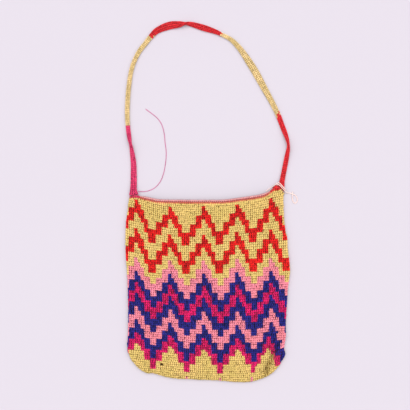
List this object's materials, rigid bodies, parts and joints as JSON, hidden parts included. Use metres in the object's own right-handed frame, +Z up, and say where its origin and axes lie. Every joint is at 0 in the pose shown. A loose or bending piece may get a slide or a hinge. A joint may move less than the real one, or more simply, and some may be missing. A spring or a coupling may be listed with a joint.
{
  "type": "bilum string bag",
  "caption": "Bag looped from yarn in zigzag bands, lying flat, with a red edged mouth, one long twisted strap, a loose yarn end and a white tie string.",
  "frame": {"origin": "on the surface the bag lies on, under the middle of the bag and strap together", "axes": "+Y from the base through the mouth to the top of the strap, +Z up out of the front of the bag, +X to the right seen from the front"},
  "size_m": [0.2934, 0.6128, 0.0125],
  "materials": {
    "pouch_yarn": "dull looped yarn in yellow with red, pink, blue and rose zigzag bands",
    "edging_yarn": "dull coral red looped yarn",
    "strap_yarn": "dull looped yarn in rose, yellow and red lengths",
    "thread_yarn": "twisted pink yarn",
    "white_string": "thin twisted white cotton string"
  },
  "bodies": {
    "root": {"pouch": "pouch_yarn", "mouth_edging": "edging_yarn", "strap": "strap_yarn", "loose_thread": "thread_yarn", "tie_string": "white_string"}
  },
  "joints": []
}
